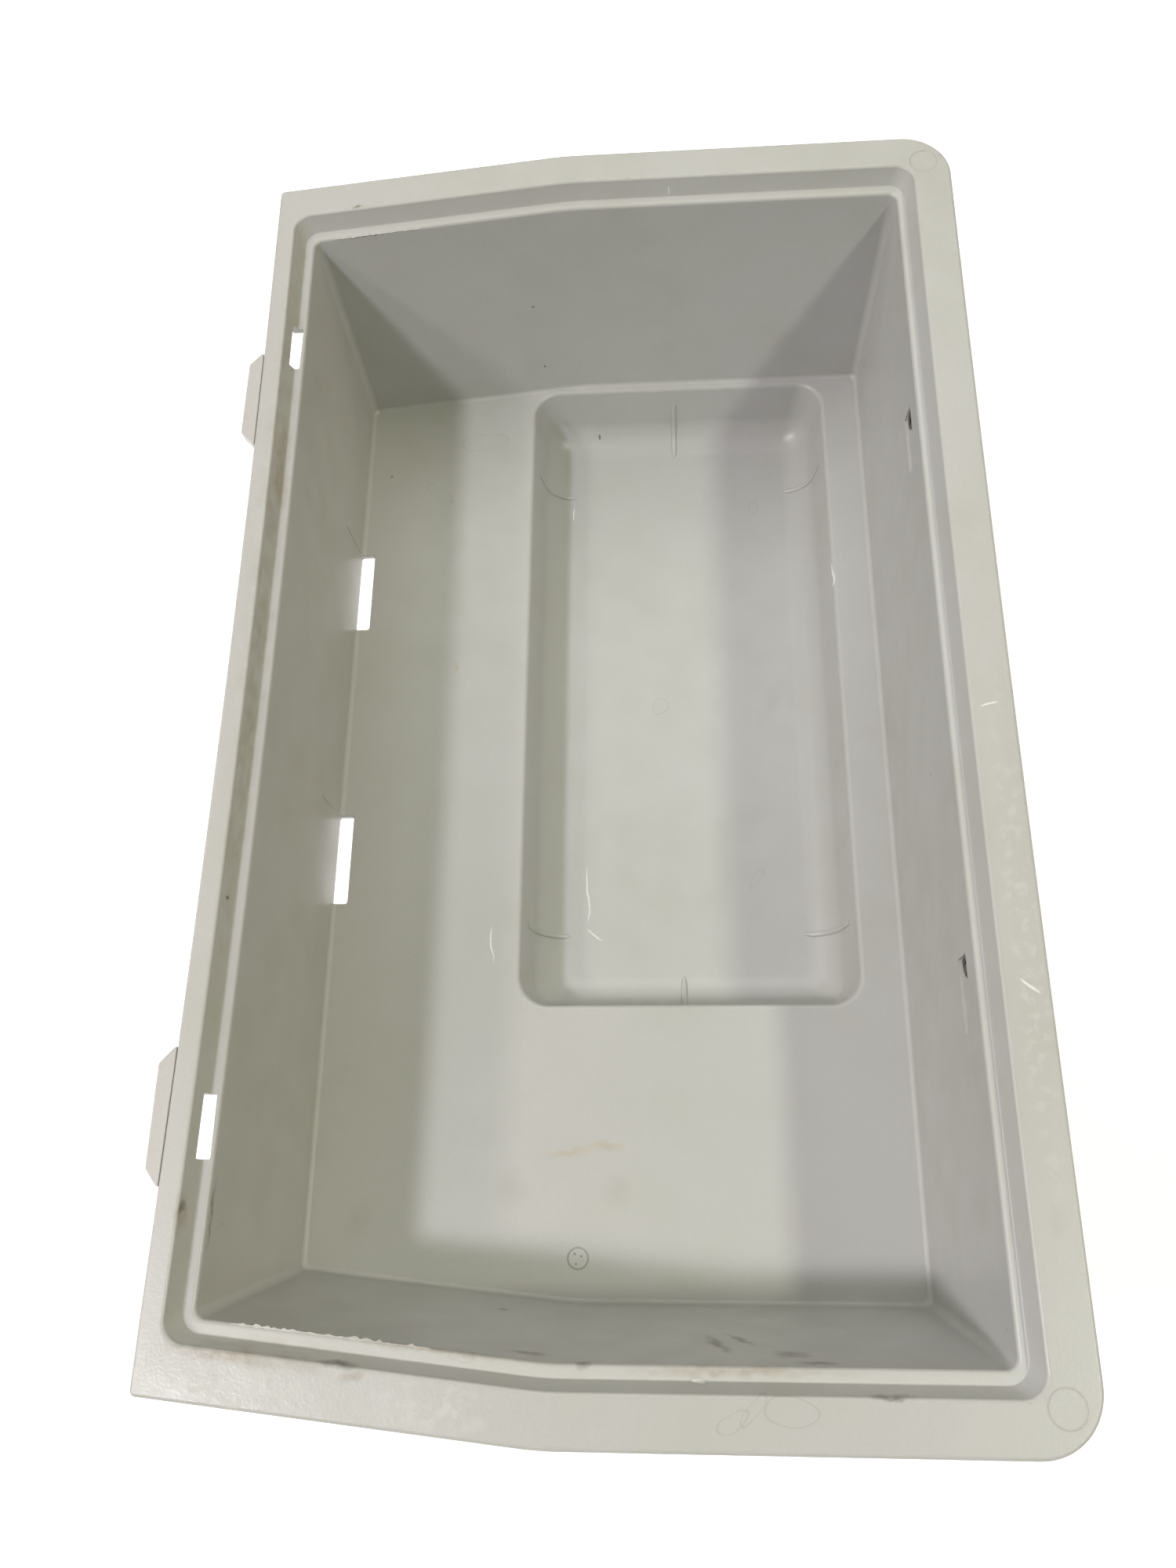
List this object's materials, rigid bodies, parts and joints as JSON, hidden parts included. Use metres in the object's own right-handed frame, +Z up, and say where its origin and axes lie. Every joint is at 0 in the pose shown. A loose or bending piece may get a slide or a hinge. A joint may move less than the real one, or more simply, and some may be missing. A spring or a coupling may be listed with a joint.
{
  "type": "deep drop-in tray",
  "caption": "Deep moulded tray with a hanging flange, a lid rebate, a recessed well in its floor, drain and latch slots, and catches on one long edge.",
  "frame": {"origin": "under the middle of the whole object's outline, level with the underside of the well, its lowest face", "axes": "+Z up, +Y along the tray's length towards the end that the well is nearer to, +X across it towards the wide side of the flange"},
  "size_m": [0.35, 0.6, 0.17],
  "materials": {
    "tray_plastic": "fine matt moulded surface, warm light grey, a little scuffed",
    "catch_plastic": "fine matt moulded surface, warm light grey"
  },
  "bodies": {
    "root": {"tray_moulding": "tray_plastic", "edge_catch_far": "catch_plastic", "edge_catch_near": "catch_plastic"}
  },
  "joints": []
}
